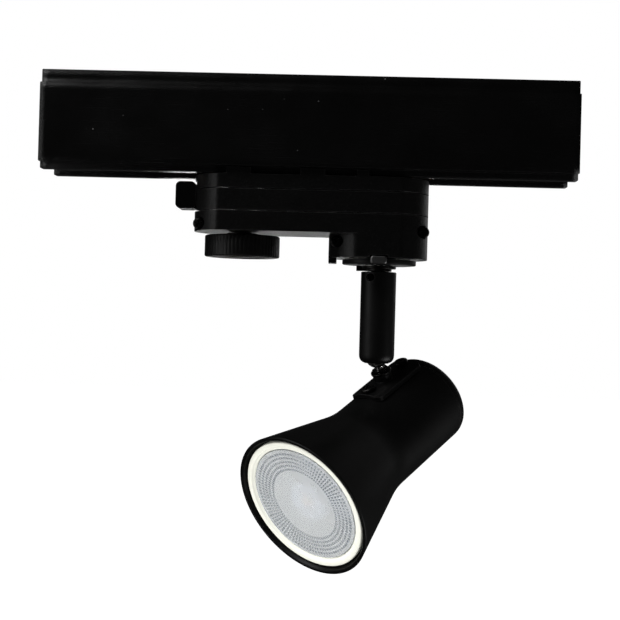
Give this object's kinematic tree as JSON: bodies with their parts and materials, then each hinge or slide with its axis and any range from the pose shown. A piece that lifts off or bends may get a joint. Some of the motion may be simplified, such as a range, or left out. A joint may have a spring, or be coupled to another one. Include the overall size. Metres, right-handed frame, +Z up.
{
  "type": "track spotlight",
  "caption": "Black three-circuit track spotlight: adapter with locking lever and circuit selector, short stem with ball joint, flared head with a reflector lamp, on a section of track.",
  "frame": {"origin": "middle of the track section's flat top face, which meets the ceiling or a suspension", "axes": "+X along the track, towards the stem's end of the adapter; +Z up; the lamp faces the -Y side"},
  "size_m": [0.193, 0.0852, 0.1771],
  "materials": {
    "track_paint": "black powder coat, semi-gloss",
    "insulator": "extruded insulating strip, satin",
    "copper": "bare copper, slightly dulled",
    "black_plastic": "fine-grained black moulding",
    "black_coat": "matte black powder coat",
    "black_steel": "blackened screw steel",
    "nickel": "bright nickel plate",
    "zinc_steel": "zinc-plated steel",
    "lamp_plastic": "cream thermoplastic, satin",
    "lens": "clear moulded optic",
    "led_board": "white solder-masked board",
    "phosphor": "warm yellow-orange phosphor",
    "ceramic": "unglazed steatite",
    "grey_rubber": "soft grey elastomer",
    "wire_sleeve": "silicone and glass sleeve"
  },
  "bodies": {
    "track": {"track_extrusion": "track_paint", "track_insulator_front": "insulator", "track_insulator_rear": "insulator", "conductor_phase_1": "copper", "conductor_phase_2": "copper", "conductor_phase_3": "copper", "conductor_neutral": "copper"},
    "adapter": {"adapter_top": "black_plastic", "adapter_frame": "black_plastic", "adapter_base": "black_plastic", "adapter_screw_left": "black_steel", "adapter_screw_block": "black_steel", "adapter_screw_right": "black_steel", "contact_carrier": "insulator", "neutral_contact": "copper", "earth_contact_front": "copper", "earth_contact_rear": "copper", "terminal_block": "insulator", "swivel_stop": "zinc_steel"},
    "lock": {"lock_lever": "black_plastic", "lock_tube": "zinc_steel", "lock_tongue": "zinc_steel"},
    "selector": {"selector_knob": "black_plastic", "selector_shaft": "black_plastic", "selector_drum": "insulator", "selector_blade_1": "copper", "selector_blade_2": "copper", "selector_blade_3": "copper"},
    "stem": {"swivel_disc": "black_coat", "swivel_nipple": "zinc_steel", "swivel_nut": "zinc_steel", "stem_collar": "black_steel", "stem_tube": "black_coat", "stem_grub_screw": "black_steel", "ball_seat": "grey_rubber", "stem_wire": "wire_sleeve"},
    "ball": {"ball_stud": "nickel"},
    "head": {"stud_nut": "black_steel", "stud_flange": "black_steel", "saddle_plate": "black_coat", "saddle_screw_front": "black_steel", "saddle_screw_rear": "black_steel", "head_housing": "black_coat", "rear_cap": "black_coat", "lamp_holder": "ceramic", "holder_bridge": "zinc_steel", "head_wire": "wire_sleeve"},
    "lamp": {"lamp_ring": "lamp_plastic", "lamp_lens": "lens", "lamp_body": "lamp_plastic", "led_board": "led_board", "led_emitter": "phosphor", "lamp_collimator": "lens", "lamp_pin_left": "nickel", "lamp_pin_right": "nickel"}
  },
  "joints": [
    {"name": "adapter_slide", "type": "slide", "parent": "track", "child": "adapter", "axis": [1, 0, 0], "range_m": [-0.055, 0.053]},
    {"name": "lock_lever_turn", "type": "hinge", "parent": "adapter", "child": "lock", "pos_m": [-0.0238, 0, -0.0335], "axis": [0, 0, -1], "range_deg": [0, 90]},
    {"name": "selector_turn", "type": "hinge", "parent": "adapter", "child": "selector", "pos_m": [-0.0238, 0, -0.0335], "axis": [0, 0, 1], "range_deg": [0, 180]},
    {"name": "stem_swivel", "type": "hinge", "parent": "adapter", "child": "stem", "pos_m": [0.0268, 0, -0.0335], "axis": [0, 0, 1], "range_deg": [-175, 175]},
    {"name": "ball_tilt", "type": "hinge", "parent": "stem", "child": "ball", "pos_m": [0.0268, 0, -0.1006], "axis": [0.7559, -0.6547, 0], "range_deg": [-57.5, 2.5]},
    {"name": "head_turn", "type": "hinge", "parent": "ball", "child": "head", "pos_m": [0.0268, 0, -0.1006], "axis": [-0.3023, -0.349, 0.887], "range_deg": [-170, 170]},
    {"name": "lamp_twist", "type": "hinge", "parent": "head", "child": "lamp", "pos_m": [0.00205, -0.02857, -0.1523], "axis": [-0.5808, -0.6705, -0.4617], "range_deg": [0, 28]}
  ]
}
